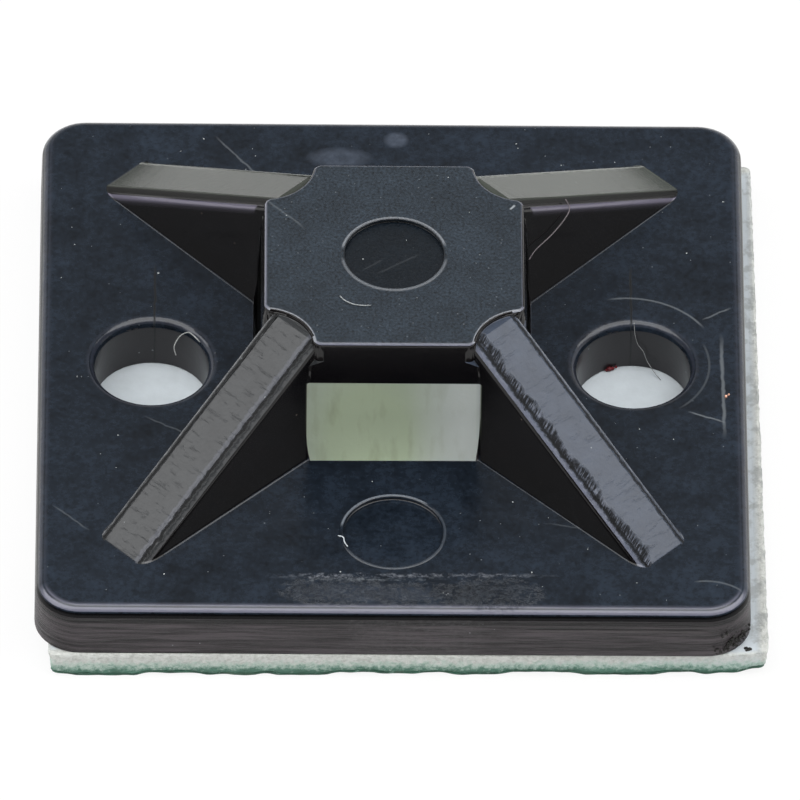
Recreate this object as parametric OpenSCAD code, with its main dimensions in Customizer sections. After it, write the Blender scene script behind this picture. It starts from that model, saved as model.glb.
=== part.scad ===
// Four-way cable tie mount: a square moulded plate with a raised bridge that
// four corner ribs brace, standing on a double-sided foam pad and its liner.
// The origin is the centre of the plate, on the underside of the liner.
// The plate is square to the axes and its screw holes lie along X.

/* [Plate] */
// Side of the square plate, at its underside
plate_side = 28; // [25:0.5:36]
// Thickness of the plate
plate_thick = 2.3; // [1.8:0.1:3.5]
// Radius of the plate's corners, seen from above
plate_corner_r = 1.8; // [1.2:0.1:3]
// Rounding of the plate's upper edge
plate_edge_r = 0.5; // [0.2:0.05:0.8]
// Inward lean of the plate's side walls, from the underside to the edge
plate_lean = 0.05; // [0.01:0.01:0.2]

/* [Screw holes] */
// Distance between the two screw holes
hole_pitch = 19; // [17.5:0.5:21]
// Bore of each screw hole
hole_d = 4.5; // [3:0.1:5]
// Rounding of each hole's upper rim
hole_rim_r = 0.4; // [0.2:0.05:0.6]

/* [Bridge] */
// Side of the bridge's square top
bridge_side = 10.2; // [9.5:0.1:11.5]
// Rise of the bridge above the plate
bridge_rise = 5.95; // [5:0.05:8]
// Inward lean of the bridge's walls, from the foot to the top edge
bridge_lean = 0.36; // [0.1:0.02:0.6]
// Radius of the hollow notch in each corner of the bridge
notch_r = 2; // [1.6:0.1:2.3]
// Distance of each notch's centre outside the bridge's top edges
notch_out = 0.05; // [0.02:0.01:0.4]
// Rounding of the corners where a notch meets the bridge's walls
notch_corner_r = 0.45; // [0.3:0.05:0.6]
// Depth of the notches' floors below the ribs' tops
notch_sink = 0.6; // [0.5:0.05:1]

/* [Tie ways] */
// Width of the ways that the cable tie passes through
way_width = 6.8; // [5:0.1:7]
// Clear height of the ways above the plate
way_height = 3.9; // [3:0.1:4.5]
// Half length of the cross-shaped window that the ways leave in the plate
window_reach = 5.5; // [5.3:0.1:6]

/* [Ribs] */
// Width of each corner rib at its top
rib_width = 2.6; // [2:0.1:3]
// Rounding of the ribs' long upper edges
rib_edge_r = 0.45; // [0.2:0.05:0.8]
// Inward lean of the ribs' side faces, over a height equal to the bridge's rise
rib_lean = 0.16; // [0.02:0.02:0.3]
// Distance of each rib's foot from the centre, along the diagonal
rib_foot = 15.08; // [13.5:0.02:15.6]
// Drop of the ribs' tops below the bridge's top, at the notches
rib_step = 0.2; // [0.1:0.05:0.5]
// Length of each rib's level top, from its notch to where it starts to fall
rib_ledge = 0.32; // [0.1:0.02:0.6]

/* [Ejector pin marks] */
// Diameter of the round marks that the ejector pins leave
mark_d = 4; // [2:0.1:5]
// Depth of the marks
mark_depth = 0.16; // [0.05:0.01:0.3]
// Distance of the plate's mark from the centre, towards the front
mark_offset = 9.5; // [8.5:0.1:10.5]

/* [Foam pad and liner] */
// How much wider than the plate the foam pad is cut, side to side
pad_spare = 0.1; // [-0.5:0.1:1]
// How much shorter than the plate the foam pad is cut, front to back
pad_lack = 0.4; // [-0.5:0.1:1]
// Thickness of the foam pad
pad_thick = 1.05; // [0.8:0.05:2]
// Sideways shift of the pad under the plate
pad_shift_x = 0.48; // [-1:0.02:1]
// Front-to-back shift of the pad under the plate
pad_shift_y = -0.2; // [-1:0.02:1]
// Turn of the pad under the plate, in degrees
pad_turn = 0.6; // [-2:0.1:2]
// Thickness of the release liner
liner_thick = 0.15; // [0.05:0.05:0.4]

/* [Hidden] */
$fn = 96;
// Overshoot of a cutting shape past the face that it cuts.
past = 1;
plate_z = liner_thick + pad_thick;
plate_top = plate_z + plate_thick;
bridge_top = plate_top + bridge_rise;
bridge_half = bridge_side / 2;
way_top = plate_top + way_height;
// The bridge and the ribs are rooted at the middle of the plate's thickness.
root_z = plate_z + plate_thick / 2;
root_rise = bridge_top - root_z;
bridge_root_half = bridge_half + bridge_lean * root_rise / bridge_rise;
bridge_foot_half = bridge_half + bridge_lean;
corner_place = plate_side / 2 - plate_corner_r;
notch_centre = bridge_half + notch_out;
// The roundings reach this far past the walls and arcs that they join, so that
// all of these surfaces cross.
round_lap = 0.02;
// Centre of a rounding, seen from above, on the side where y is the greater.
round_y = bridge_half - notch_corner_r + round_lap;
round_x = notch_centre
        - sqrt(pow(notch_r + notch_corner_r - round_lap, 2) - pow(notch_centre - round_y, 2));
// Each rib's ridge falls from the end of its level top to its foot.
ridge_start = notch_centre * sqrt(2) - notch_r + rib_ledge;
ridge_fall = bridge_rise - rib_step;
ridge_angle = atan(ridge_fall / (rib_foot - ridge_start));
rib_height = bridge_rise + plate_thick;
rib_run = rib_foot + plate_side / 4;
rib_root_lean = rib_lean * rib_height / bridge_rise;
pad_width = plate_side + pad_spare;
pad_length = plate_side - pad_lack;

// Half section of a wall of the given reach and height whose face leans
// inwards by lean and turns into the top with the radius r.
module leaning_section(reach, height, lean, r) {
    centre = [reach - lean - r, height - r];
    polygon([
        [0, 0],
        [reach, 0],
        centre + [r, 0],
        centre,
        centre + [0, r],
        [0, height]
    ]);
    translate(centre)
        intersection() {
            circle(r);
            square(2 * r);
        }
}

// A slab, the four edge strips along its sides, and the four rounded corners.
module plate() {
    straight = 2 * corner_place;
    translate([0, 0, plate_z]) {
        translate([-corner_place, -corner_place, 0])
            cube([straight, straight, plate_thick]);
        for (quarter = [0 : 3])
            rotate(quarter * 90)
                translate([corner_place, -corner_place, 0]) {
                    translate([0, straight, 0])
                        rotate([90, 0, 0])
                            linear_extrude(straight) plate_rim();
                    translate([0, straight, 0])
                        rotate_extrude(angle = 90) plate_rim();
                }
    }
}

// Section of the plate's rim, outwards from the centres of its corners.
module plate_rim() {
    leaning_section(plate_corner_r, plate_thick, plate_lean, plate_edge_r);
}

// Places a shape at the foot of the rib along +X, with its X axis down the ridge.
module at_rib_foot() {
    translate([rib_foot, 0, plate_top])
        rotate([0, ridge_angle, 0])
            children();
}

// Plan of one notch: a circle, with the two corners that it leaves rounded off.
module notch_plan() {
    far = notch_centre + notch_r;
    translate([notch_centre, notch_centre]) circle(notch_r);
    for (side = [0, 1])
        mirror([side, -side])
            difference() {
                polygon([
                    [round_x, round_y],
                    [notch_centre, notch_centre],
                    [far, far],
                    [round_x, far]
                ]);
                translate([round_x, round_y]) circle(notch_corner_r);
            }
}

// The space that one notch leaves above a floor that runs with the rib's top.
module notch() {
    intersection() {
        translate([0, 0, root_z]) linear_extrude(root_rise + past) notch_plan();
        rotate(45)
            at_rib_foot()
                translate([-rib_run, -bridge_side / 2, -notch_sink])
                    cube([rib_run, bridge_side, root_rise]);
    }
}

// A block with leaning walls, to both sides of the origin along Y.
module leaning_block() {
    rotate([90, 0, 0])
        linear_extrude(2 * bridge_root_half, center = true)
            polygon([
                [-bridge_root_half, 0],
                [bridge_root_half, 0],
                [bridge_half, root_rise],
                [-bridge_half, root_rise]
            ]);
}

module bridge() {
    difference() {
        translate([0, 0, root_z])
            intersection_for (turn = [0, 90])
                rotate(turn) leaning_block();
        for (quarter = [0 : 3])
            rotate(quarter * 90) notch();
    }
}

// One rib along +X: a bar that falls along the ridge, kept between its root
// in the plate and its level top.
module rib() {
    intersection() {
        at_rib_foot()
            translate([0, 0, -rib_height])
                rotate([90, 0, 90])
                    linear_extrude(2 * rib_run, center = true)
                        for (side = [0, 1])
                            mirror([side, 0])
                                leaning_section(rib_width / 2 + rib_root_lean, rib_height,
                                                rib_root_lean, rib_edge_r);
        translate([bridge_half / 2, -rib_width, root_z])
            cube([rib_run, 2 * rib_width, root_rise - rib_step]);
    }
}

// The crossing ways under the bridge and the window that they leave in the plate.
module tie_ways() {
    for (turn = [0, 90])
        rotate(turn) {
            translate([-window_reach, -way_width / 2, plate_z - past])
                cube([2 * window_reach, way_width, way_top - plate_z + past]);
            translate([-bridge_foot_half - past, -way_width / 2, plate_top])
                cube([2 * (bridge_foot_half + past), way_width, way_height]);
        }
}

module screw_hole() {
    bore_r = hole_d / 2;
    rim_reach = bore_r + hole_rim_r;
    translate([0, 0, plate_z - past]) cylinder(h = plate_thick + 2 * past, d = hole_d);
    translate([0, 0, plate_top - hole_rim_r])
        rotate_extrude()
            difference() {
                square([rim_reach, hole_rim_r + past]);
                translate([rim_reach, 0]) circle(hole_rim_r);
            }
}

// A shallow round recess in a face at height z.
module pin_mark(z) {
    translate([0, 0, z - mark_depth]) cylinder(h = mark_depth + past, d = mark_d);
}

module mount_body() {
    color([0.13, 0.15, 0.18])
        difference() {
            union() {
                plate();
                bridge();
                for (quarter = [0 : 3])
                    rotate(45 + quarter * 90) rib();
            }
            tie_ways();
            for (side = [-1, 1])
                translate([side * hole_pitch / 2, 0, 0]) screw_hole();
            pin_mark(bridge_top);
            translate([0, -mark_offset, 0]) pin_mark(plate_top);
        }
}

// A sheet with the pad's outline, from height z upwards.
module pad_sheet(z, thick) {
    translate([pad_shift_x, pad_shift_y, z + thick / 2])
        rotate(pad_turn)
            cube([pad_width, pad_length, thick], center = true);
}

module foam_pad() {
    color([0.87, 0.89, 0.86]) pad_sheet(liner_thick, pad_thick);
}

module release_liner() {
    color([0.12, 0.35, 0.28]) pad_sheet(0, liner_thick);
}

mount_body();
foam_pad();
release_liner();
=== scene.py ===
import math
import random

import bmesh
import bpy
from mathutils import Matrix, Vector, noise


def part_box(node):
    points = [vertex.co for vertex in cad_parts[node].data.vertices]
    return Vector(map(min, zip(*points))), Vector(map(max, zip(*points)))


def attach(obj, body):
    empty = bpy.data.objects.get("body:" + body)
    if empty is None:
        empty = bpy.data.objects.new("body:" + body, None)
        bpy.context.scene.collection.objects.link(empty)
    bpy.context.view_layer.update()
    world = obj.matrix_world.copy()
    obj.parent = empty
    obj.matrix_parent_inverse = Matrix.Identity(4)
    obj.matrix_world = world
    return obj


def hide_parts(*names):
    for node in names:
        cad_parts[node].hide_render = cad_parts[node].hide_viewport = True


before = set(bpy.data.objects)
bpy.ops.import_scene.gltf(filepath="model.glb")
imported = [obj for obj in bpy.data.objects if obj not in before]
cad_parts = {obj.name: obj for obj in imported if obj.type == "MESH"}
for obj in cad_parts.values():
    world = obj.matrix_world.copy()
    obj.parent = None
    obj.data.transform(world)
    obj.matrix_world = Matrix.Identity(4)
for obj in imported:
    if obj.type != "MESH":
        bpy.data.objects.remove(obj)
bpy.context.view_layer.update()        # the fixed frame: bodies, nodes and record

MM = 0.001

# ---------------------------------------------------------------- sizes taken from the frame
PAD_LOW, PAD_HIGH = (Vector(corner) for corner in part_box("foam_pad"))
LINER_LOW, LINER_HIGH = (Vector(corner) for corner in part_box("release_liner"))
BODY_LOW, BODY_HIGH = (Vector(corner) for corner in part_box("mount_body"))
PLATE_HALF = BODY_HIGH.x
UNDERSIDE_Z = BODY_LOW.z
PLATFORM_Z = BODY_HIGH.z
PLATE_THICK = 2.3 * MM
PLATE_Z = UNDERSIDE_Z + PLATE_THICK
PLATE_CORNER_R = 1.8 * MM
CORNER_PLACE = PLATE_HALF - PLATE_CORNER_R
HOLE_X = 9.5 * MM
BORE_R = 2.25 * MM
MARK_R = 2.0 * MM
PLATE_MARK_Y = -9.5 * MM
WAY_HALF = 3.4 * MM
PAD_TURN = math.radians(0.6)

# ---------------------------------------------------------------- view
VIEW_ELEVATION = math.radians(44.31)
VIEW_YAW = math.radians(0.771)
VIEW_ROLL = math.radians(0.919)
VIEW_DISTANCE = 0.7576
VIEW_LENS = 862.4
VIEW_SHIFT = (0.01015, 0.0056)
VIEW_CENTRE = Vector((0, 0, UNDERSIDE_Z))


def make_camera():
    """Looks down on the front edge with a long lens."""
    across = Vector((math.cos(VIEW_YAW), -math.sin(VIEW_YAW), 0))
    level_back = Vector((math.sin(VIEW_YAW), math.cos(VIEW_YAW), 0))
    up = level_back * math.sin(VIEW_ELEVATION) + Vector((0, 0, math.cos(VIEW_ELEVATION)))
    towards = across.cross(up)
    right = across * math.cos(VIEW_ROLL) + up * math.sin(VIEW_ROLL)
    top = up * math.cos(VIEW_ROLL) - across * math.sin(VIEW_ROLL)
    place = VIEW_CENTRE + towards * VIEW_DISTANCE
    data = bpy.data.cameras.new("view")
    data.lens = VIEW_LENS
    data.sensor_width = 36
    data.shift_x, data.shift_y = VIEW_SHIFT
    data.clip_start = 0.05
    data.clip_end = 20
    camera = bpy.data.objects.new("view", data)
    turn = Matrix((right, top, towards)).transposed().to_4x4()
    camera.matrix_world = Matrix.Translation(place) @ turn
    bpy.context.collection.objects.link(camera)
    bpy.context.scene.camera = camera


# ---------------------------------------------------------------- node helper
class Graph:
    """A short way to write a material's nodes. Lengths are in millimetres."""

    def __init__(self, owner):
        owner.use_nodes = True
        self.tree = owner.node_tree
        self.tree.nodes.clear()
        self.wander = None

    def add(self, kind, values=None, **properties):
        made = self.tree.nodes.new(kind)
        for name, value in properties.items():
            setattr(made, name, value)
        for socket, value in (values or {}).items():
            if isinstance(value, bpy.types.NodeSocket):
                self.tree.links.new(value, made.inputs[socket])
            else:
                made.inputs[socket].default_value = value
        return made

    def math(self, operation, first, second=0.0, third=0.0, clamp=False):
        values = {0: first, 1: second, 2: third}
        return self.add("ShaderNodeMath", values, operation=operation, use_clamp=clamp).outputs[0]

    def ramp(self, factor, low, high, to_low=0.0, to_high=1.0):
        values = {0: factor, 1: low, 2: high, 3: to_low, 4: to_high}
        return self.add("ShaderNodeMapRange", values).outputs[0]

    def mix(self, factor, first, second):
        values = {0: factor, 6: first, 7: second}
        return self.add("ShaderNodeMix", values, data_type="RGBA").outputs[2]

    def scaled(self, tone, shade):
        """A tone made lighter or darker by a factor."""
        plain = tone if isinstance(tone, bpy.types.NodeSocket) else tone[:3]
        values = {0: plain, "Scale": shade}
        return self.add("ShaderNodeVectorMath", values, operation="SCALE").outputs[0]

    def place(self, centre=(0.0, 0.0, 0.0), turn=0.0, stretch=(1.0, 1.0, 1.0)):
        """Millimetres from a centre, in a frame turned about the vertical and stretched."""
        source = self.add("ShaderNodeTexCoord").outputs["Object"]
        values = {
            0: source,
            1: tuple(part * MM for part in centre),
            2: (0.0, 0.0, turn),
            3: tuple(part * MM for part in stretch),
        }
        return self.add("ShaderNodeMapping", values, vector_type="TEXTURE").outputs[0]

    def parts(self, vector):
        return self.add("ShaderNodeSeparateXYZ", {0: vector}).outputs

    def noise(self, vector, scale, detail=3.0, rough=0.5):
        values = {"Vector": vector, "Scale": scale, "Detail": detail, "Roughness": rough}
        return self.add("ShaderNodeTexNoise", values).outputs[0]

    def shared_wander(self):
        """A slow wander from -1 to 1 that all of a material's scratches share."""
        if self.wander is None:
            self.wander = self.ramp(self.noise(self.place(), 2.5, 1.0), 0.2, 0.8, -1.0, 1.0)
        return self.wander

    def band(self, value, low, high, soft):
        """1 where the value lies between low and high, with soft ends."""
        rise = self.ramp(value, low - soft, low + soft)
        fall = self.ramp(value, high - soft, high + soft)
        return self.math("SUBTRACT", rise, fall, clamp=True)

    def both(self, first, second):
        return self.math("MULTIPLY", first, second)

    def stroke(self, start, end, width, ragged=0.0):
        """A scratch or line from start to end, seen from above."""
        run, rise = end[0] - start[0], end[1] - start[1]
        length = math.hypot(run, rise)
        along, across, _ = self.parts(self.place((*start, 0.0), math.atan2(rise, run)))
        if ragged:
            across = self.math("MULTIPLY_ADD", self.shared_wander(), ragged, across)
        line = self.ramp(self.math("ABSOLUTE", across), 0.35 * width, width, 1.0, 0.0)
        return self.both(line, self.band(along, 0.0, length, 0.12 * length))

    def spot(self, centre, reach, soft=0.3):
        """An oval patch, seen from above."""
        vector = self.place((*centre, 0.0), 0.0, (*reach, 1.0))
        flat = self.add("ShaderNodeVectorMath", {0: vector, 1: (1.0, 1.0, 0.0)}, operation="MULTIPLY")
        length = self.add("ShaderNodeVectorMath", {0: flat.outputs[0]}, operation="LENGTH")
        return self.ramp(length.outputs["Value"], 1.0 - soft, 1.0 + soft, 1.0, 0.0)

    def arc(self, centre, radius, width, first, last):
        """Part of a ring, seen from above, between two angles in degrees."""
        x, y, _ = self.parts(self.place((*centre, 0.0)))
        reach = self.math("SQRT", self.math("ADD", self.both(x, x), self.both(y, y)))
        gap = self.math("ABSOLUTE", self.math("SUBTRACT", reach, radius))
        ring = self.ramp(gap, 0.35 * width, width, 1.0, 0.0)
        angle = self.math("ARCTAN2", y, x)
        return self.both(ring, self.band(angle, math.radians(first), math.radians(last), 0.06))

    def specks(self, cells, size, share):
        """Small grains of dust: one cell in so many holds a speck."""
        vector = self.place()
        values = {"Vector": vector, "Scale": cells}
        cell = self.add("ShaderNodeTexVoronoi", values).outputs
        grain = self.ramp(cell["Distance"], 0.5 * size * cells, size * cells, 1.0, 0.0)
        chosen = self.ramp(self.add("ShaderNodeSeparateColor", {0: cell["Color"]}).outputs[0],
                           1.0 - share, 1.0 - 0.8 * share)
        return self.both(grain, chosen)


def colour(red, green, blue):
    """A colour written as its three sRGB parts from 0 to 255."""
    parts = []
    for part in (red, green, blue):
        share = part / 255
        parts.append(share / 12.92 if share <= 0.04045 else ((share + 0.055) / 1.055) ** 2.4)
    return (*parts, 1.0)


class Finish:
    """One material, built up in layers of tone, roughness and relief."""

    def __init__(self, name, base, roughness):
        self.material = bpy.data.materials.new(name)
        self.graph = Graph(self.material)
        self.tone = base
        self.roughness = roughness
        self.height = 0.0

    def mottle(self, scale, dark, light, detail=4.0, low=0.3, high=0.7):
        """Varies the tone between two shades of it, and gives back the grain that it follows."""
        graph = self.graph
        grain = graph.ramp(graph.noise(graph.place(), scale, detail, 0.6), low, high)
        self.tone = graph.scaled(self.tone, graph.ramp(grain, 0.0, 1.0, dark, light))
        return grain

    def paint(self, mask, tint, share=1.0):
        """Lays a tint over the tone under the mask."""
        graph = self.graph
        self.tone = graph.mix(graph.both(mask, share), self.tone, tint)

    def polish(self, mask, roughness):
        """Brings the roughness to the given value under the mask."""
        graph = self.graph
        gap = graph.math("SUBTRACT", roughness, self.roughness)
        self.roughness = graph.math("MULTIPLY_ADD", mask, gap, self.roughness)

    def relief(self, mask, height):
        """Raises the surface by a height in millimetres under the mask."""
        self.height = self.graph.math("MULTIPLY_ADD", mask, height, self.height)

    def done(self, **constants):
        """The finished material, with any further constants set on its shader."""
        graph = self.graph
        values = {"Base Color": self.tone, "Roughness": self.roughness}
        if isinstance(self.height, bpy.types.NodeSocket):
            bump = graph.add("ShaderNodeBump", {"Height": self.height, "Distance": MM})
            values["Normal"] = bump.outputs[0]
        shader = graph.add("ShaderNodeBsdfPrincipled", values)
        for name, value in constants.items():
            shader.inputs[name.replace("_", " ")].default_value = value
        graph.add("ShaderNodeOutputMaterial", {0: shader.outputs[0]})
        return self.material


# ---------------------------------------------------------------- finishes of the moulded nylon
# Places, heights and widths in these finishes are in millimetres.
DUST = colour(150, 156, 160)
GREASE = colour(86, 94, 108)
PLATE_MARK = (0, PLATE_MARK_Y / MM)
WELDS_X = (-9.4, 9.45)
NOTCH_PLACE = 5.15
NOTCH_ARC_R = 2.06
# Painted highlight bands along the plate's rounded edge: lower and upper height, and strength.
HIGHLIGHT_BANDS = ((2.265, 2.288, 0.5), (2.12, 2.235, 0.65))


def level(height):
    """Height above the floor of a height above the plate's underside."""
    return UNDERSIDE_Z / MM + height


def plate_top_finish():
    """Smooth, slightly wavy black nylon with dust, scratches, the gate's rough scar and painted
    highlights.
    """
    # The bluish tint of the base is a painted reflection.
    finish = Finish("nylon_plate_top", colour(25, 32, 41), 0.17)
    graph = finish.graph
    slow = finish.mottle(0.35, 0.7, 1.3, 2.0)
    finish.mottle(1.3, 0.72, 1.34, 4.0, 0.28, 0.72)
    clouds = finish.mottle(5.0, 0.58, 1.5, 4.0, 0.28, 0.72)
    finish.relief(slow, 0.03)
    finish.relief(clouds, 0.003)
    # The level top is a touch duller than its polished, rounded edge.
    _, y, height = graph.parts(graph.place())
    finish.polish(graph.ramp(height, level(2.27), level(2.295)), 0.25)
    # Painted highlight lines along the rounded edge, strongest at the front.
    at_front = graph.ramp(y, -13.0, -12.4, 1.0, 0.14)
    off_mark = graph.math("SUBTRACT", 1.0, graph.spot(PLATE_MARK, (2.2, 2.2), 0.02))
    beside_mark = graph.both(at_front, off_mark)
    for low, high, share in HIGHLIGHT_BANDS:
        pale = graph.band(height, level(low), level(high), 0.012)
        finish.paint(graph.both(pale, beside_mark), colour(130, 130, 146), share)
    # Painted highlight arcs on the lip round the ejector pin mark.
    for first, last, share in ((50, 170, 0.5), (-150, 40, 0.12)):
        ring = graph.arc(PLATE_MARK, 2.04, 0.07, first, last)
        finish.paint(ring, colour(146, 154, 164), share)
    # Weld lines, where the melt met behind each screw hole.
    for x in WELDS_X:
        weld = graph.stroke((x, 5.3), (x, 2.2), 0.06, 0.03)
        finish.paint(weld, colour(5, 7, 10), 0.95)
        finish.polish(weld, 0.8)
    # The gate's scar on the front edge.
    grains = graph.noise(graph.place(stretch=(1.0, 0.7, 1.0)), 5.0, 4.0, 0.75)
    crumb = graph.ramp(grains, 0.46, 0.66)
    torn = graph.both(scar_mask(graph), crumb)
    finish.paint(torn, colour(84, 92, 102), 0.55)
    finish.polish(torn, 0.4)
    finish.relief(torn, 0.05)
    rim = graph.both(graph.stroke((-3.9, -11.95), (5.4, -11.85), 0.13, 0.1), crumb)
    finish.paint(rim, colour(120, 124, 132), 0.8)
    far_rim = graph.both(graph.stroke((-3.7, -12.15), (1.6, -12.1), 0.1, 0.14), crumb)
    finish.paint(far_rim, colour(112, 118, 124), 0.6)
    # Scratches and rubbed places.
    for start, end, width, share in (
        ((-6.9, 12.7), (-5.3, 10.6), 0.06, 0.2),
        ((13.0, 1.2), (13.05, -3.6), 0.09, 0.3),
        ((11.75, -2.7), (13.0, -3.2), 0.06, 0.35),
        ((12.35, 2.6), (13.3, 3.2), 0.06, 0.25),
        ((-13.2, -8.2), (-12.0, -9.4), 0.05, 0.15),
        ((6.2, -9.0), (9.4, -9.6), 0.05, 0.12),
        ((-9.6, -3.2), (-7.6, -4.4), 0.05, 0.15),
    ):
        finish.paint(graph.stroke(start, end, width, 0.04), DUST, share)
    for centre, radius, first, last, share in (
        ((9.3, 0.2), 3.55, 35, 100, 0.28),
        ((9.4, 0.0), 3.1, -50, 20, 0.12),
        ((12.2, -14.2), 2.1, 50, 100, 0.2),
    ):
        finish.paint(graph.arc(centre, radius, 0.06, first, last), DUST, share)
    # Greasy blots.
    blot = graph.noise(graph.place(), 3.0, 3.0, 0.7)
    for centre, reach, share in (
        ((0.17, 12.75), (0.42, 0.38), 1.0),
        ((-2.1, 11.7), (1.1, 0.5), 0.7),
        ((-1.0, -12.9), (2.4, 0.5), 0.3),
    ):
        finish.paint(graph.both(graph.spot(centre, reach), blot), GREASE, share)
    finish.paint(graph.specks(2.6, 0.03, 0.3), DUST, 0.5)
    return finish.done()


def scar_mask(graph):
    """The patches of torn skin that the gate leaves along the middle of the front edge."""
    mask = 0.0
    for centre, reach in (
        ((-2.3, -12.75), (1.9, 0.75)),
        ((1.0, -12.95), (2.2, 0.6)),
        ((4.0, -12.85), (1.7, 0.8)),
    ):
        mask = graph.math("MAXIMUM", graph.spot(centre, reach, 0.25), mask)
    frayed = graph.ramp(graph.noise(graph.place(), 2.2, 4.0, 0.75), 0.36, 0.52)
    return graph.both(mask, frayed)


def platform_finish():
    """The platform's fine matt texture, the smooth floor of its ejector pin mark, and painted
    highlights along its edges.
    """
    finish = Finish("nylon_platform", colour(34, 42, 50), 0.4)
    graph = finish.graph
    finish.mottle(0.9, 0.75, 1.25, 4.0)
    grain = finish.mottle(9.0, 0.3, 1.85, 4.0, 0.3, 0.7)
    finish.relief(grain, 0.01)
    finish.paint(graph.specks(4.0, 0.035, 0.3), DUST, 0.35)
    floor = graph.spot((0, 0), (MARK_R / MM, MARK_R / MM), 0.02)
    finish.paint(floor, colour(10, 16, 22), 0.82)
    finish.polish(floor, 0.23)
    # A painted highlight along the rounded outline, outside the pin mark.
    height = graph.parts(graph.place())[2]
    top = PLATFORM_Z / MM
    below = graph.ramp(height, top - 0.03, top - 0.008, 1.0, 0.0)
    apart = graph.math("SUBTRACT", 1.0, graph.spot((0, 0), (2.5, 2.5), 0.05))
    outline = graph.both(below, apart)
    finish.paint(outline, colour(112, 114, 128), 0.85)
    # Painted highlight arcs round the pin mark and along the two front notches.
    for centre, radius, first, last, share in (
        ((0, 0), 2.05, 15, 170, 0.6),
        ((0, 0), 2.06, -170, -10, 0.3),
        ((-NOTCH_PLACE, -NOTCH_PLACE), NOTCH_ARC_R, 5, 85, 0.7),
        ((NOTCH_PLACE, -NOTCH_PLACE), NOTCH_ARC_R, 95, 175, 0.7),
    ):
        finish.paint(graph.arc(centre, radius, 0.075, first, last), colour(148, 152, 158), share)
    finish.polish(outline, 0.2)
    for start, end, share in (
        ((-5.0, 3.0), (-3.6, 1.55), 0.14),
        ((-0.6, -0.9), (0.9, 0.1), 0.05),
        ((-1.2, -0.7), (-0.5, -0.2), 0.05),
        ((4.55, 2.6), (4.75, 2.8), 0.9),
    ):
        finish.paint(graph.stroke(start, end, 0.06, 0.03), DUST, share)
    return finish.done()


def rib_finish(side, base, degrees, scuffs, edge=0.0, hatch=False):
    """A rib's top. Across the rib, negative places lie on the side that faces the front."""
    finish = Finish("nylon_rib_" + side, base, 0.27)
    graph = finish.graph
    turn = math.radians(degrees)
    vector = graph.place(turn=turn)
    across = graph.parts(vector)[1]
    finish.mottle(1.2, 0.86, 1.14, 4.0)
    # Long scuffs that run with the rib.
    streak = graph.noise(graph.place(turn=turn, stretch=(0.14, 1.0, 0.4)), 1.0, 4.0, 0.65)
    cut = graph.ramp(streak, 0.56, 0.72)
    finish.paint(cut, colour(22, 24, 26), scuffs)
    finish.relief(cut, -0.03 * scuffs)
    finish.relief(graph.noise(graph.place(), 6.0, 3.0, 0.6), 0.006)
    wobble = graph.noise(vector, 4.0, 4.0, 0.75)
    jagged = graph.math("ADD", across, graph.ramp(wobble, 0.2, 0.8, -0.09, 0.09))
    if edge:
        # Painted light along each rounded edge: a dark jagged line of painted shade inside it, sunk a
        # little, with painted highlight lines beside it.
        for low, high, tint, share, dull in (
            (-0.95, -0.74, colour(104, 108, 122), 0.25, 0.0),
            (-1.3, -1.16, colour(112, 112, 114), 0.4, 0.0),
            (-1.06, -0.95, colour(5, 6, 8), edge, 1.0),
            (0.9, 1.03, colour(4, 5, 7), edge, 1.0),
            (1.12, 1.18, colour(150, 152, 156), 0.45, 0.0),
        ):
            line = graph.band(jagged, low, high, 0.03)
            finish.paint(line, tint, share)
            if dull:
                finish.polish(graph.both(line, edge), 0.95)
                finish.relief(line, -0.04)
    else:
        # A dark soft band of painted shade along the front edge, and a painted highlight line at the
        # far one.
        dark = graph.band(across, -1.4, -0.95, 0.05)
        finish.paint(dark, colour(10, 9, 9), 0.95)
        finish.polish(graph.both(dark, 0.9), 0.95)
        far = graph.band(jagged, 0.86, 1.0, 0.04)
        finish.paint(far, colour(150, 152, 148), 0.45)
    if hatch:
        # Short drag marks that lean in from the front edge.
        leaning = graph.place(turn=turn + math.radians(20), stretch=(0.07, 0.8, 1.0))
        marks = graph.ramp(graph.noise(leaning, 1.2, 3.0, 0.6), 0.43, 0.52)
        ragged = graph.ramp(graph.noise(vector, 1.1, 3.0, 0.6), 0.3, 0.7, -0.2, 0.22)
        near = graph.band(graph.math("ADD", across, ragged), -1.05, -0.62, 0.1)
        drag = graph.both(marks, near)
        finish.paint(drag, colour(4, 5, 8), 0.95)
        finish.polish(drag, 0.95)
        finish.relief(drag, -0.02)
        # A painted highlight line along the very front edge.
        brim_highlight = graph.band(jagged, -1.24, -1.1, 0.03)
        finish.paint(brim_highlight, colour(120, 124, 140), 0.6)
    finish.paint(graph.specks(2.2, 0.04, 0.15), DUST, 0.6)
    return finish.done()


def wall_finish():
    """The polished side faces of the ribs and the bridge."""
    finish = Finish("nylon_wall", colour(10, 8, 9), 0.16)
    graph = finish.graph
    finish.mottle(0.8, 0.8, 1.3)
    finish.relief(graph.noise(graph.place(), 5.0, 3.0), 0.003)
    # A fine painted highlight line along the top of each side of the back ribs.
    x, y, _ = graph.parts(graph.place())
    off_x, off_y = graph.math("ABSOLUTE", x), graph.math("ABSOLUTE", y)
    gap = graph.math("ABSOLUTE", graph.math("SUBTRACT", off_x, off_y))
    ridge_highlight = graph.band(gap, 1.22 * math.sqrt(2), 1.29 * math.sqrt(2), 0.02)
    nearer = graph.math("MINIMUM", off_x, off_y)
    behind = graph.both(graph.ramp(y, 3.6, 3.7), graph.ramp(nearer, 3.4, 3.6))
    finish.paint(graph.both(ridge_highlight, behind), colour(120, 116, 132), 0.85)
    streak = graph.noise(graph.place(stretch=(1.0, 1.0, 0.15)), 1.5, 3.0)
    finish.paint(graph.ramp(streak, 0.62, 0.8), colour(30, 27, 28), 0.4)
    finish.paint(graph.specks(1.6, 0.05, 0.12), colour(110, 100, 92), 0.7)
    return finish.done(Specular_IOR_Level=0.34)


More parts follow.
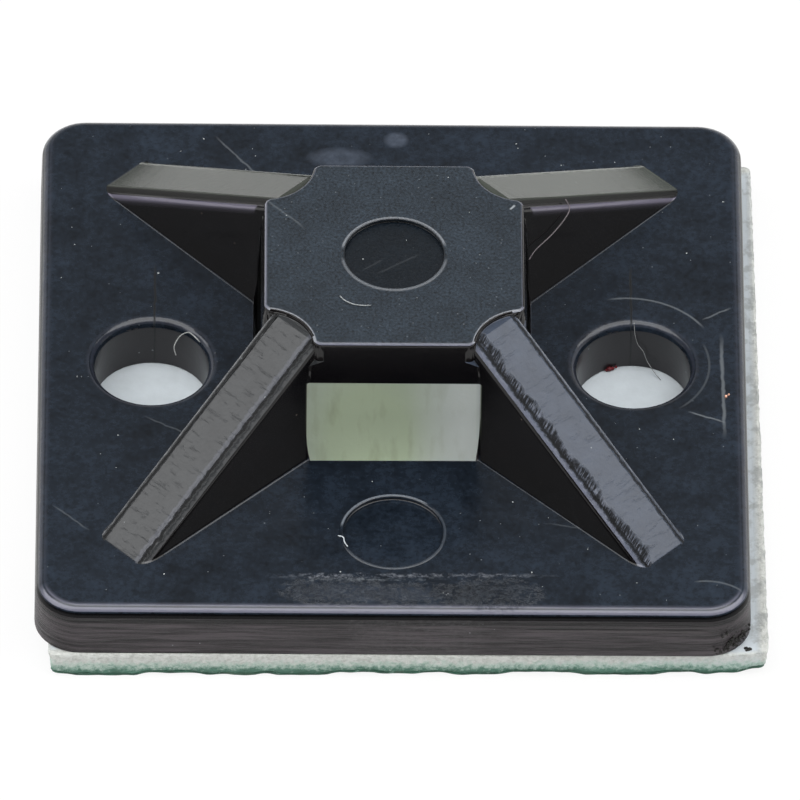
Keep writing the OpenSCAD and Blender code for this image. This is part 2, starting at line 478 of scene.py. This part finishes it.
def plate_rim_shade_finish():
    """The lower part of the plate's rounded edge, darkened all round as painted shade."""
    finish = Finish("nylon_plate_rim_shaded", colour(9, 9, 11), 0.2)
    finish.mottle(1.5, 0.7, 1.4)
    finish.paint(finish.graph.specks(2.0, 0.04, 0.2), DUST, 0.5)
    return finish.done(Specular_IOR_Level=0.12)


def plate_side_finish():
    """The plate's outer walls, drawn with fine level streaks from the mould."""
    finish = Finish("nylon_plate_side", colour(58, 53, 56), 0.33)
    graph = finish.graph
    flattened = graph.place(stretch=(3.0, 3.0, 0.16))
    streaks = graph.ramp(graph.noise(flattened, 1.0, 5.0, 0.65), 0.36, 0.64)
    finish.tone = graph.scaled(finish.tone, graph.ramp(streaks, 0.0, 1.0, 0.3, 1.6))
    finish.polish(streaks, 0.42)
    finish.relief(streaks, 0.025)
    finish.relief(graph.noise(graph.place(), 4.0, 4.0, 0.6), 0.006)
    x, y, z = graph.parts(graph.place())
    # Painted shade just under the rounded edge, and darker along a few broad bands.
    for low, high, share in ((1.6, 1.86, 0.9), (0.62, 0.7, 0.5), (0.3, 0.42, 0.35)):
        finish.paint(graph.band(z, level(low), level(high), 0.05), colour(12, 11, 13), share)
    # A long nick near the top of the front wall, with its paler lower lip.
    on_front = graph.band(y, -15.0, -13.0, 0.1)
    reach = graph.both(graph.band(x, 5.4, 12.2, 0.3), on_front)
    nick = graph.both(graph.band(z, level(1.42), level(1.52), 0.03), reach)
    lip = graph.both(graph.band(z, level(1.30), level(1.36), 0.03), reach)
    finish.paint(nick, colour(10, 9, 10), 0.9)
    finish.relief(nick, -0.03)
    finish.paint(lip, colour(92, 88, 88), 0.5)
    # A rubbed stretch in the middle of the front wall.
    stretch = graph.both(graph.band(x, -3.0, 4.6, 1.6), on_front)
    patches = graph.noise(graph.place(stretch=(0.5, 1.0, 0.3)), 2.0, 5.0, 0.7)
    rubbed = graph.ramp(graph.both(patches, stretch), 0.45, 0.7)
    finish.paint(rubbed, colour(84, 82, 84), 0.45)
    finish.paint(graph.specks(2.0, 0.04, 0.2), DUST, 0.6)
    return finish.done(Specular_IOR_Level=0.3)


def bore_finish():
    """The holes' and the window's walls."""
    finish = Finish("nylon_bore", colour(34, 30, 33), 0.3)
    graph = finish.graph
    finish.mottle(0.7, 0.75, 1.2)
    finish.relief(graph.noise(graph.place(), 5.0, 3.0), 0.004)
    for x in WELDS_X:
        weld = graph.stroke((x, 2.6), (x, 1.6), 0.045)
        finish.paint(weld, colour(6, 7, 9), 0.85)
        finish.relief(weld, -0.015)
    finish.paint(graph.specks(1.8, 0.05, 0.2), DUST, 0.5)
    return finish.done()


# One black nylon throughout: the bluish tint of the level tops, the warm tints of the walls and each
# rib's own tone are painted reflection and painted light.
FINISHES = {
    "plate": plate_top_finish(),
    "platform": platform_finish(),
    "rib_front_left": rib_finish("front_left", colour(46, 48, 50), 45, 0.3, edge=0.9),
    "rib_front_right": rib_finish("front_right", colour(58, 66, 80), -45, 0.2, edge=0.9, hatch=True),
    "rib_back_left": rib_finish("back_left", colour(48, 52, 46), -45, 0.08),
    "rib_back_right": rib_finish("back_right", colour(54, 59, 52), 45, 0.08),
    "rim": plate_rim_shade_finish(),
    "side": plate_side_finish(),
    "wall": wall_finish(),
    "bore": bore_finish(),
}


# ---------------------------------------------------------------- moulded body
OUTLINE_ROUND = 0.16 * MM
SHARP_ANGLE = math.radians(28)
# How far a face looks up, from 0 for a wall to 1 for a level top.
LEVEL_UP = 0.99
BORE_UP = 0.2
FRONT_RIB_UP = 0.45
BACK_RIB_UP = 0.62
RIM_UP = 0.1
EDGE_UP = 0.55
# Bands of the moulding that share a finish.
MARK_BAND = 0.17 * MM
PLATE_BAND = 0.25 * MM
HOLE_BAND = 0.5 * MM
ROUNDED_BAND = 0.5 * MM
RIM_BAND = 1.9 * MM
# Where the plate's window and the bridge's foot stand a hair apart.
FOOT_NEAR = 5.4 * MM
FOOT_FAR = 5.55 * MM
SLIVER = 0.08 * MM


def finish_of(face):
    """Which finish a face of the moulding takes, from where it lies and how it is turned."""
    centre, normal = face.calc_center_median(), face.normal
    radius = math.hypot(abs(centre.x) - HOLE_X, centre.y)
    in_front = centre.y < 0
    if normal.z > LEVEL_UP and centre.z > PLATFORM_Z - MARK_BAND:
        return "platform"
    if radius < BORE_R + HOLE_BAND and centre.z < PLATE_Z - 0.005 * MM:
        return "bore" if normal.z < BORE_UP else "plate"
    if normal.z > LEVEL_UP and abs(centre.z - PLATE_Z) < PLATE_BAND:
        return "plate"
    if centre.z > PLATE_Z and normal.z > (FRONT_RIB_UP if in_front else BACK_RIB_UP):
        depth = "front" if in_front else "back"
        side = "left" if centre.x < 0 else "right"
        return f"rib_{depth}_{side}"
    if centre.z <= PLATE_Z and max(abs(centre.x), abs(centre.y)) > PLATE_HALF - RIM_BAND:
        if normal.z < RIM_UP:
            return "side"
        # The lower part of the rounded edge takes the rim finish, which paints shade there.
        return "rim" if normal.z < EDGE_UP and centre.z > PLATE_Z - ROUNDED_BAND else "plate"
    if centre.z < PLATE_Z:
        return "bore"
    return "wall"


def rise_of(edge):
    """How far an edge rises from one end to the other."""
    return abs(edge.verts[0].co.z - edge.verts[1].co.z)


def rounding_of(edge):
    """The share of the widest rounding that an edge of the moulding takes."""
    if not edge.is_manifold or edge.calc_face_angle(0.0) < SHARP_ANGLE:
        return 0.0
    middle = (edge.verts[0].co + edge.verts[1].co) / 2
    upward = max(face.normal.z for face in edge.link_faces)
    off_axis = math.hypot(middle.x, middle.y)
    depth = PLATFORM_Z - middle.z
    # The short edges round the notches' floors stay sharp.
    if 0.3 * MM < depth < 1.4 * MM and edge.calc_length() < 1 * MM:
        return 0.0
    # Outer edges: widest round the platform, and none on the hair-short ones beside it.
    if edge.is_convex:
        on_platform = upward > LEVEL_UP and middle.z > PLATFORM_Z - 0.01 * MM
        if on_platform and off_axis > MARK_R + 0.5 * MM:
            return 1.0
        return 0.0 if edge.calc_length() < 0.06 * MM and middle.z > PLATFORM_Z - 0.4 * MM else 0.42
    # Inner edges: fine near the platform, and wide in the upright corners of the window.
    if middle.z > PLATFORM_Z - 0.25 * MM:
        return 0.2
    if middle.z < PLATE_Z - 0.1 * MM and rise_of(edge) > 1 * MM:
        return 1.0
    return 0.5


def finish_piece(name, shape, replaced=None):
    """Sets a finished shape in the scene, as a piece that stays with the mount."""
    mesh = bpy.data.meshes.new(name)
    shape.to_mesh(mesh)
    shape.free()
    piece = bpy.data.objects.new(name, mesh)
    bpy.context.collection.objects.link(piece)
    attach(piece, "root")
    if replaced:
        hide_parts(replaced)
    return piece


def close_slivers(shape):
    """Joins the window's corners to the bridge's foot, from which they stand a hair apart."""
    near = [
        vert
        for vert in shape.verts
        if abs(vert.co.z - PLATE_Z) < 0.01 * MM
        and FOOT_NEAR < max(abs(vert.co.x), abs(vert.co.y)) < FOOT_FAR
        and abs(min(abs(vert.co.x), abs(vert.co.y)) - WAY_HALF) < SLIVER
    ]
    bmesh.ops.remove_doubles(shape, verts=near, dist=SLIVER)


def make_body():
    """The moulding's own mesh, welded, with its sharp edges rounded as the mould leaves them."""
    shape = bmesh.new()
    shape.from_mesh(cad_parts["mount_body"].data)
    bmesh.ops.remove_doubles(shape, verts=shape.verts, dist=0.0005 * MM)
    bmesh.ops.dissolve_limit(
        shape,
        angle_limit=math.radians(0.4),
        verts=shape.verts,
        edges=shape.edges,
        delimit={"NORMAL"},
    )
    close_slivers(shape)
    order = list(FINISHES)
    for face in shape.faces:
        face.material_index = order.index(finish_of(face))
        face.smooth = True
    weight = shape.edges.layers.float.new("bevel_weight_edge")
    for edge in shape.edges:
        edge[weight] = rounding_of(edge)
    piece = finish_piece("moulded_body", shape, "mount_body")
    for key in order:
        piece.data.materials.append(FINISHES[key])
    rounding = piece.modifiers.new("edge_rounding", "BEVEL")
    rounding.width = OUTLINE_ROUND
    rounding.segments = 3
    rounding.limit_method = "WEIGHT"
    rounding.use_clamp_overlap = False
    rounding.profile = 0.5
    piece.modifiers.new("even_shading", "WEIGHTED_NORMAL").weight = 80


LIP_R = 0.09 * MM
LIP_RISE = 0.045 * MM
LIP_GAP = 0.03 * MM
LIP_SIDES = 16
LIP_STEPS = 96


def make_mark_lip(name, centre, finish):
    """The hair-fine raised lip round an ejector pin mark."""
    shape = bmesh.new()
    bmesh.ops.create_circle(shape, segments=LIP_SIDES, radius=LIP_R)
    bmesh.ops.rotate(shape, verts=shape.verts, matrix=Matrix.Rotation(math.pi / 2, 3, "X"))
    bmesh.ops.translate(shape, verts=shape.verts, vec=(MARK_R + LIP_GAP, 0, LIP_RISE - LIP_R))
    bmesh.ops.spin(
        shape,
        geom=shape.verts[:] + shape.edges[:],
        cent=(0, 0, 0),
        axis=(0, 0, 1),
        angle=math.tau,
        steps=LIP_STEPS,
        use_merge=True,
    )
    bmesh.ops.translate(shape, verts=shape.verts, vec=centre)
    bmesh.ops.remove_doubles(shape, verts=shape.verts, dist=0.001 * MM)
    bmesh.ops.recalc_face_normals(shape, faces=shape.faces)
    for face in shape.faces:
        face.smooth = True
    piece = finish_piece(name, shape)
    piece.data.materials.append(FINISHES[finish])


# ---------------------------------------------------------------- foam pad and release liner
SIDE_CUTS = 230
FOAM_ROWS = 9
CAP_RINGS = (0.12 * MM, 0.4 * MM, 0.9 * MM)
EDGE_TAPER = 0.12 * MM
CURL_REACH = 2.2 * MM
CURL_RISE = 0.46 * MM
WAVY_RIM = 1.6 * MM
WAVE_RISE = 0.34 * MM
WAVE_LIMIT = 0.19 * MM
SWELL_RISE = 0.2 * MM
SWELL_REACH = 1.2 * MM


def pad_size():
    """Width and length of the pad before its slight turn, from its box."""
    span = PAD_HIGH - PAD_LOW
    cosine, sine = math.cos(PAD_TURN), math.sin(PAD_TURN)
    spread = cosine ** 2 - sine ** 2
    return (span.x * cosine - span.y * sine) / spread, (span.y * cosine - span.x * sine) / spread


def curl(place):
    """How far the front right corner has come up, from 0 to 1."""
    right = (place.x - (PAD_HIGH.x - CURL_REACH)) / CURL_REACH
    front = (PAD_LOW.y + 1.5 * CURL_REACH - place.y) / (1.5 * CURL_REACH)
    return max(0.0, min(1.0, right)) ** 2 * max(0.0, min(1.0, front))


def lift(place):
    """How far the liner's rim waves up from the surface that the pad lies on."""
    inside = min(
        place.x - PAD_LOW.x,
        PAD_HIGH.x - place.x,
        place.y - PAD_LOW.y,
        PAD_HIGH.y - place.y,
    )
    rim = max(0.0, 1.0 - inside / WAVY_RIM)
    wave = noise.noise(Vector((place.x, place.y, 0)) * 420) + 0.6 * noise.noise(place * 1100)
    ripple = min(WAVE_LIMIT, max(0.0, 0.07 * MM + WAVE_RISE * wave))
    return rim * ripple + CURL_RISE * curl(place)


def outside_plate(place):
    """Distance outwards from the plate's front right corner."""
    if place.x < CORNER_PLACE or place.y > -CORNER_PLACE:
        return 0.0
    return max(0.0, math.hypot(place.x - CORNER_PLACE, place.y + CORNER_PLACE) - PLATE_CORNER_R)


def make_sheet(low, high, rows, inset=0.0):
    """A sheet with the pad's outline, its sides divided finely and its faces ringed inwards."""
    width, length = pad_size()
    shape = bmesh.new()
    bmesh.ops.create_grid(shape, x_segments=1, y_segments=1, size=0.5)
    bmesh.ops.scale(shape, verts=shape.verts, vec=(width - 2 * inset, length - 2 * inset, 1))
    bmesh.ops.bevel(
        shape,
        geom=shape.verts[:],
        offset=0.25 * MM,
        offset_type="OFFSET",
        affect="VERTICES",
        segments=3,
        profile=0.5,
        material=-1,
    )
    long_edges = [edge for edge in shape.edges if edge.calc_length() > 10 * MM]
    bmesh.ops.subdivide_edges(shape, edges=long_edges, cuts=SIDE_CUTS)
    thick = high.z - low.z
    made = bmesh.ops.extrude_face_region(shape, geom=shape.faces[:])
    moved = [item for item in made["geom"] if isinstance(item, bmesh.types.BMVert)]
    bmesh.ops.translate(shape, verts=moved, vec=(0, 0, thick))
    upright = [edge for edge in shape.edges if rise_of(edge) > thick / 2]
    if rows:
        bmesh.ops.subdivide_edges(shape, edges=upright, cuts=rows)
    for cap in [face for face in shape.faces if len(face.verts) > 4]:
        reach = width / 2 - inset
        for ring in CAP_RINGS:
            made = bmesh.ops.extrude_face_region(shape, geom=[cap, *cap.edges])
            cap = next(item for item in made["geom"] if isinstance(item, bmesh.types.BMFace))
            share = 1 - ring / reach
            bmesh.ops.scale(shape, verts=cap.verts, vec=(share, share, 1))
            reach -= ring
    bmesh.ops.rotate(shape, verts=shape.verts, matrix=Matrix.Rotation(PAD_TURN, 3, "Z"))
    middle = (low + high) / 2
    bmesh.ops.translate(shape, verts=shape.verts, vec=(middle.x, middle.y, low.z))
    bmesh.ops.recalc_face_normals(shape, faces=shape.faces)
    shape.normal_update()
    for face in shape.faces:
        face.smooth = True
    return shape


def make_pad():
    """The foam pad, cut a little inwards towards the liner, with its cells open at the sides."""
    shape = make_sheet(PAD_LOW, PAD_HIGH, FOAM_ROWS)
    thick = PAD_HIGH.z - PAD_LOW.z
    moves = []
    for vert in shape.verts:
        share = (vert.co.z - PAD_LOW.z) / thick
        beside = Vector((vert.normal.x, vert.normal.y, 0))
        cells = noise.noise(vert.co * 5200) + 0.5 * noise.noise(vert.co * 2100)
        inward = EDGE_TAPER * (1 - share) - 0.055 * MM * cells
        raised = lift(vert.co) * (1 - share)
        raised += share * SWELL_RISE * min(1.0, outside_plate(vert.co) / SWELL_REACH) ** 2
        moves.append((vert, vert.co - beside * inward + Vector((0, 0, raised))))
    for vert, place in moves:
        vert.co = place
    piece = finish_piece("adhesive_pad", shape, "foam_pad")
    piece.data.materials.append(foam_finish())


def make_liner():
    """The green film under the pad, its rim waved and one corner turned up."""
    shape = make_sheet(LINER_LOW, LINER_HIGH, 1, inset=EDGE_TAPER)
    moves = []
    for vert in shape.verts:
        beside = Vector((vert.normal.x, vert.normal.y, 0))
        frayed = beside * 0.05 * MM * noise.noise(vert.co * 1900)
        moves.append((vert, vert.co + frayed + Vector((0, 0, lift(vert.co)))))
    for vert, place in moves:
        vert.co = place
    piece = finish_piece("liner_sheet", shape, "release_liner")
    piece.data.materials.append(liner_finish())


def foam_finish():
    """White closed-cell foam, stained green where it meets the liner, with painted light in the
    window.
    """
    finish = Finish("foam_cells", colour(200, 208, 213), 0.85)
    graph = finish.graph
    finish.mottle(1.1, 0.93, 1.04, 3.0)
    vector = graph.place()
    x, y, z = graph.parts(vector)
    # The sides: cut cells, pale and grey.
    centre = (PAD_LOW + PAD_HIGH) / 2 / MM
    off_x = graph.math("ABSOLUTE", graph.math("SUBTRACT", x, centre.x))
    off_y = graph.math("ABSOLUTE", graph.math("SUBTRACT", y, centre.y))
    rim = graph.math("MAXIMUM", graph.ramp(off_x, 13.7, 13.95), graph.ramp(off_y, 13.45, 13.7))
    cells = graph.noise(vector, 5.0, 5.0, 0.7)
    finish.paint(rim, colour(222, 222, 214), 0.7)
    finish.paint(graph.both(rim, graph.ramp(cells, 0.45, 0.66)), colour(150, 154, 146), 0.5)
    finish.relief(graph.both(rim, cells), 0.09)
    # Painted light in the window: a yellow-green tinge in its middle for light that comes through the
    # green liner, and paler towards its right side.
    middle = graph.spot((-0.9, -2.0), (3.3, 6.0), 0.55)
    finish.paint(middle, colour(206, 224, 184), 0.8)
    right = graph.both(graph.ramp(x, 0.6, 2.8), graph.band(y, -3.5, 3.5, 0.2))
    finish.paint(graph.both(right, graph.ramp(x, 3.3, 3.6, 1.0, 0.0)), colour(236, 244, 240), 0.95)
    smear = graph.ramp(graph.noise(graph.place(stretch=(0.5, 2.0, 1.0)), 1.2, 4.0), 0.5, 0.8)
    finish.paint(graph.both(smear, middle), colour(150, 160, 120), 0.4)
    # Grey smudges on the margin that the plate leaves bare.
    smudges = graph.ramp(graph.noise(vector, 1.3, 4.0, 0.7), 0.5, 0.62)
    margin = graph.ramp(x, 13.9, 14.05)
    finish.paint(graph.both(margin, smudges), colour(150, 154, 154), 0.6)
    # Green stain, ragged at its upper limit.
    above = graph.math("SUBTRACT", z, LINER_HIGH.z / MM)
    ragged = graph.ramp(graph.noise(vector, 4.0, 4.0, 0.75), 0.25, 0.75, -0.3, 0.3)
    stain_level = graph.math("ADD", above, ragged)
    stain = graph.ramp(stain_level, 0.12, 0.44, 1.0, 0.0)
    pale = graph.ramp(stain_level, 0.36, 0.72, 1.0, 0.0)
    finish.paint(pale, colour(164, 196, 182), 0.7)
    deep = graph.mix(graph.noise(vector, 2.2, 3.0), colour(30, 88, 66), colour(70, 128, 108))
    finish.tone = graph.mix(graph.both(stain, 0.85), finish.tone, deep)
    finish.relief(graph.noise(vector, 7.0, 3.0), 0.01)
    return finish.done()


def liner_finish():
    """Dark green coated film with dull blots and small pale spots."""
    finish = Finish("liner_film_green", colour(40, 92, 72), 0.5)
    graph = finish.graph
    finish.mottle(2.5, 0.6, 1.3, 5.0)
    vector = graph.place()
    blots = graph.ramp(graph.noise(vector, 1.4, 3.0), 0.55, 0.72)
    finish.paint(blots, colour(84, 104, 86), 0.5)
    spots = graph.ramp(graph.noise(vector, 5.0, 4.0), 0.6, 0.72)
    finish.paint(spots, colour(160, 190, 178), 0.5)
    finish.relief(graph.noise(vector, 3.0, 4.0), 0.02)
    return finish.done()


# ---------------------------------------------------------------- lint, grit and crumbs
FIBRE_STEPS = 5
FIBRE_SIDES = 6


def smooth_route(points):
    """More points along a rounded route through the given ones."""
    ends = [points[0], *points, points[-1]]
    route = []
    for before, start, end, after in zip(ends, ends[1:], ends[2:], ends[3:]):
        for step in range(FIBRE_STEPS):
            t = step / FIBRE_STEPS
            pull_in, pull_out = (end - before) / 2, (after - start) / 2
            route.append(
                start * (2 * t ** 3 - 3 * t ** 2 + 1)
                + pull_in * (t ** 3 - 2 * t ** 2 + t)
                + end * (3 * t ** 2 - 2 * t ** 3)
                + pull_out * (t ** 3 - t ** 2)
            )
    return [*route, points[-1]]


def make_fibre(name, points, thickness, tint):
    """A stray fibre: a thin round thread along a rounded route."""
    route = smooth_route([Vector(point) * MM for point in points])
    shape = bmesh.new()
    last = None
    for index, place in enumerate(route):
        ahead = route[min(index + 1, len(route) - 1)] - route[max(index - 1, 0)]
        stand = Matrix.Translation(place) @ ahead.to_track_quat("Z", "Y").to_matrix().to_4x4()
        at_end = index in (0, len(route) - 1)
        made = bmesh.ops.create_circle(
            shape, cap_ends=at_end, segments=FIBRE_SIDES, radius=thickness / 2, matrix=stand
        )
        ring = list({edge for vert in made["verts"] for edge in vert.link_edges})
        if last:
            bmesh.ops.bridge_loops(shape, edges=last + ring)
        last = ring
    bmesh.ops.recalc_face_normals(shape, faces=shape.faces)
    for face in shape.faces:
        face.smooth = True
    piece = finish_piece(name, shape)
    finish = Finish(name + "_tint", tint, 0.6)
    finish.mottle(2.0, 0.8, 1.2)
    piece.data.materials.append(finish.done())


# Each fibre: name, the height it is measured from, thickness, tint and route.
LINT = (
    ("lint_on_platform", PLATFORM_Z, 0.05, colour(150, 154, 156), (
        (-2.13, -2.42, 0.03), (-1.95, -2.66, 0.03), (-1.6, -2.88, 0.03),
        (-1.2, -2.95, 0.03), (-0.93, -2.93, 0.03))),
    ("lint_by_rib", PLATE_Z, 0.045, colour(120, 112, 116), (
        (6.80, 5.08, 4.13), (6.96, 4.98, 3.69), (6.73, 4.68, 3.35),
        (6.23, 4.13, 3.06), (5.64, 3.48, 2.91), (5.36, 3.16, 2.65))),
    ("lint_left_hole", PLATE_Z, 0.045, colour(176, 178, 176), (
        (-8.55, 1.12, -0.75), (-8.62, 1.35, -0.5), (-8.4, 1.62, -0.2),
        (-8.1, 1.66, -0.02), (-7.9, 1.5, 0.02), (-7.6, 1.15, -0.05))),
    ("lint_right_hole", PLATE_Z, 0.03, colour(150, 152, 152), (
        (9.55, 2.35, 0.02), (9.6, 2.16, -0.45), (9.72, 2.12, -0.95), (9.95, 2.05, -1.3),
        (10.1, 2.0, -1.75), (10.4, 1.7, -2.1), (10.65, 1.45, -2.26))),
    ("lint_by_mark", PLATE_Z, 0.06, colour(190, 196, 200), (
        (-2.15, -9.75, 0.03), (-1.95, -9.85, 0.04), (-1.9, -10.1, 0.03), (-1.78, -10.35, 0.03))),
)


def make_lint():
    """The stray fibres that cling to the plate, the platform, a rib and the holes."""
    for name, surface, thickness, tint, route in LINT:
        points = [(x, y, surface / MM + rise) for x, y, rise in route]
        make_fibre(name, points, thickness * MM, tint)


def make_grit(name, places, tint, roughness):
    """Small irregular lumps, one at each place, each with its own size."""
    draw = random.Random(len(places))
    shape = bmesh.new()
    for place, size in places:
        made = bmesh.ops.create_icosphere(shape, subdivisions=1, radius=size)
        turn = Matrix.Rotation(draw.uniform(0, math.tau), 3, draw.choice("XYZ"))
        bmesh.ops.scale(shape, verts=made["verts"], vec=[draw.uniform(0.6, 1.3) for _ in range(3)])
        bmesh.ops.rotate(shape, verts=made["verts"], matrix=turn)
        bmesh.ops.translate(shape, verts=made["verts"], vec=place)
    piece = finish_piece(name, shape)
    finish = Finish(name + "_tint", tint, roughness)
    finish.mottle(4.0, 0.7, 1.3)
    piece.data.materials.append(finish.done())


# Each drift of crumbs: how many, the turn of its middle about the plate's corner in degrees,
# its height above the plate's underside, and its spread in degrees.
CRUMB_DRIFTS = ((44, -64, 0.34, 10), (44, -40, 0.56, 11), (10, -50, 0.95, 14))


def make_corner_crumbs():
    """Black crumbs caught low on the plate's front right corner."""
    draw = random.Random(11)
    places = []
    for count, turn, height, spread in CRUMB_DRIFTS:
        for _ in range(count):
            angle = math.radians(draw.gauss(turn, spread))
            reach = PLATE_CORNER_R + 0.015 * MM
            rise = max(0.04, draw.gauss(height, 0.16)) * MM
            places.append((
                Vector((CORNER_PLACE + reach * math.cos(angle),
                        -CORNER_PLACE + reach * math.sin(angle),
                        UNDERSIDE_Z + rise)),
                draw.uniform(0.02, 0.06) * MM))
    for _ in range(7):
        places.append((
            Vector((draw.uniform(13.72, 13.98), draw.uniform(-13.66, -13.5), 0)) * MM
            + Vector((0, 0, UNDERSIDE_Z + 0.03 * MM)),
            draw.uniform(0.05, 0.09) * MM))
    make_grit("corner_crumbs", places, colour(30, 30, 26), 0.7)


# Grains of each fleck: place, height above the surface that it lies on, and size.
ORANGE_GRAINS = ((13.13, -1.8, 0.03, 0.09), (13.24, -1.7, 0.03, 0.07))
RED_GRAINS = (
    (8.5, 1.92, 0.1, 0.06),
    (8.62, 1.98, 0.12, 0.09),
    (8.74, 2.03, 0.1, 0.08),
    (8.88, 2.08, 0.13, 0.05),
)


def make_coloured_flecks():
    """An orange fleck on the plate, and a dark red one on the foam in the right hole."""
    for name, surface, grains, tint in (
        ("fleck_orange", PLATE_Z, ORANGE_GRAINS, colour(232, 176, 150)),
        ("fleck_red", UNDERSIDE_Z, RED_GRAINS, colour(104, 18, 28)),
    ):
        places = [
            (Vector((x, y, surface / MM + rise)) * MM, size * MM)
            for x, y, rise, size in grains
        ]
        make_grit(name, places, tint, 0.6)


DUST_GRAINS = 64
DUST_REACH = 13.2


def make_dust():
    """White grains of dust lying on the plate and the platform."""
    draw = random.Random(5)
    places = []
    while len(places) < DUST_GRAINS:
        x, y = draw.uniform(-DUST_REACH, DUST_REACH), draw.uniform(-DUST_REACH, DUST_REACH)
        on_platform = max(abs(x), abs(y)) < 4.6 and abs(x) + abs(y) < 7.4
        near_hole = math.hypot(abs(x) - 9.5, y) < 2.9
        near_rib = abs(abs(x) - abs(y)) < 2.2 or max(abs(x), abs(y)) < 5.8
        if on_platform or not (near_hole or near_rib):
            surface = PLATFORM_Z if on_platform else PLATE_Z
            size = draw.uniform(0.014, 0.034) * MM
            places.append((Vector((x * MM, y * MM, surface + 0.3 * size)), size))
    make_grit("dust_grains", places, colour(178, 182, 182), 0.8)


# ---------------------------------------------------------------- studio
FLOOR_HALF = 3
OVERHEAD_POWER = 4.6
OVERHEAD_PLACE = (0, -0.1375, 0.5)
OVERHEAD_SIZE = (1.0, 0.451)
PANEL_POWER = 0.6
PANEL_SIZE = (0.44, 0.16)
PANEL_DISTANCE = 0.5
PANEL_ELEVATION = math.radians(36)
PANEL_AIM = (0, 0, 0.003)


def make_floor():
    """A wide white sheet of paper, which looks almost evenly white."""
    shape = bmesh.new()
    bmesh.ops.create_grid(shape, x_segments=1, y_segments=1, size=FLOOR_HALF)
    mesh = bpy.data.meshes.new("floor")
    shape.to_mesh(mesh)
    shape.free()
    floor = bpy.data.objects.new("floor", mesh)
    bpy.context.collection.objects.link(floor)
    material = bpy.data.materials.new("floor_paper")
    graph = Graph(material)
    seen = graph.add("ShaderNodeLightPath").outputs["Is Camera Ray"]
    paper = graph.add("ShaderNodeBsdfDiffuse", {"Color": (0.86, 0.86, 0.86, 1)})
    glow = graph.add("ShaderNodeEmission", {"Color": (1, 1, 1, 1), "Strength": 1.0})
    share = graph.math("MULTIPLY", seen, 0.9)
    mixed = graph.add("ShaderNodeMixShader", {0: share, 1: paper.outputs[0], 2: glow.outputs[0]})
    graph.add("ShaderNodeOutputMaterial", {0: mixed.outputs[0]})
    mesh.materials.append(material)


def make_world():
    """A white room, brightest low down and dim towards the front."""
    world = bpy.data.worlds.new("studio")
    bpy.context.scene.world = world
    graph = Graph(world)
    direction = graph.add("ShaderNodeTexCoord").outputs["Generated"]
    parts = graph.add("ShaderNodeSeparateXYZ", {0: direction}).outputs
    height = graph.ramp(parts[2], 0.0, 0.55, 0.9, 0.22)
    front = graph.ramp(parts[1], -0.5, 0.1, 0.1, 1.0)
    strength = graph.math("MULTIPLY", height, front)
    seen = graph.add("ShaderNodeLightPath").outputs["Is Camera Ray"]
    strength = graph.math("MAXIMUM", strength, seen)
    back = graph.add("ShaderNodeBackground", {"Color": (1, 1, 1, 1), "Strength": strength})
    graph.add("ShaderNodeOutputWorld", {0: back.outputs[0]})


def make_lamp(name, centre, size, power, aim):
    """A flat lamp that faces the place it is aimed at."""
    data = bpy.data.lights.new(name, "AREA")
    data.shape = "RECTANGLE"
    data.size, data.size_y = size
    data.energy = power
    lamp = bpy.data.objects.new(name, data)
    lamp.location = centre
    away = Vector(centre) - Vector(aim)
    lamp.rotation_euler = away.to_track_quat("Z", "Y").to_euler()
    bpy.context.collection.objects.link(lamp)


def make_lamps():
    """A wide lamp overhead, and a low panel on each side that reaches into the tie ways."""
    below = (OVERHEAD_PLACE[0], OVERHEAD_PLACE[1], 0)
    make_lamp("overhead", OVERHEAD_PLACE, OVERHEAD_SIZE, OVERHEAD_POWER, below)
    away = PANEL_DISTANCE * math.cos(PANEL_ELEVATION)
    height = PANEL_DISTANCE * math.sin(PANEL_ELEVATION)
    for name, side in (("left_panel", -1), ("right_panel", 1)):
        make_lamp(name, (side * away, 0, height), PANEL_SIZE, PANEL_POWER, PANEL_AIM)


make_camera()
make_floor()
make_world()
make_lamps()
make_body()
make_mark_lip("mark_lip_platform", Vector((0, 0, PLATFORM_Z)), "platform")
make_mark_lip("mark_lip_plate", Vector((0, PLATE_MARK_Y, PLATE_Z)), "plate")
make_pad()
make_liner()
make_lint()
make_corner_crumbs()
make_coloured_flecks()
make_dust()

bpy.context.scene.view_settings.view_transform = "Standard"
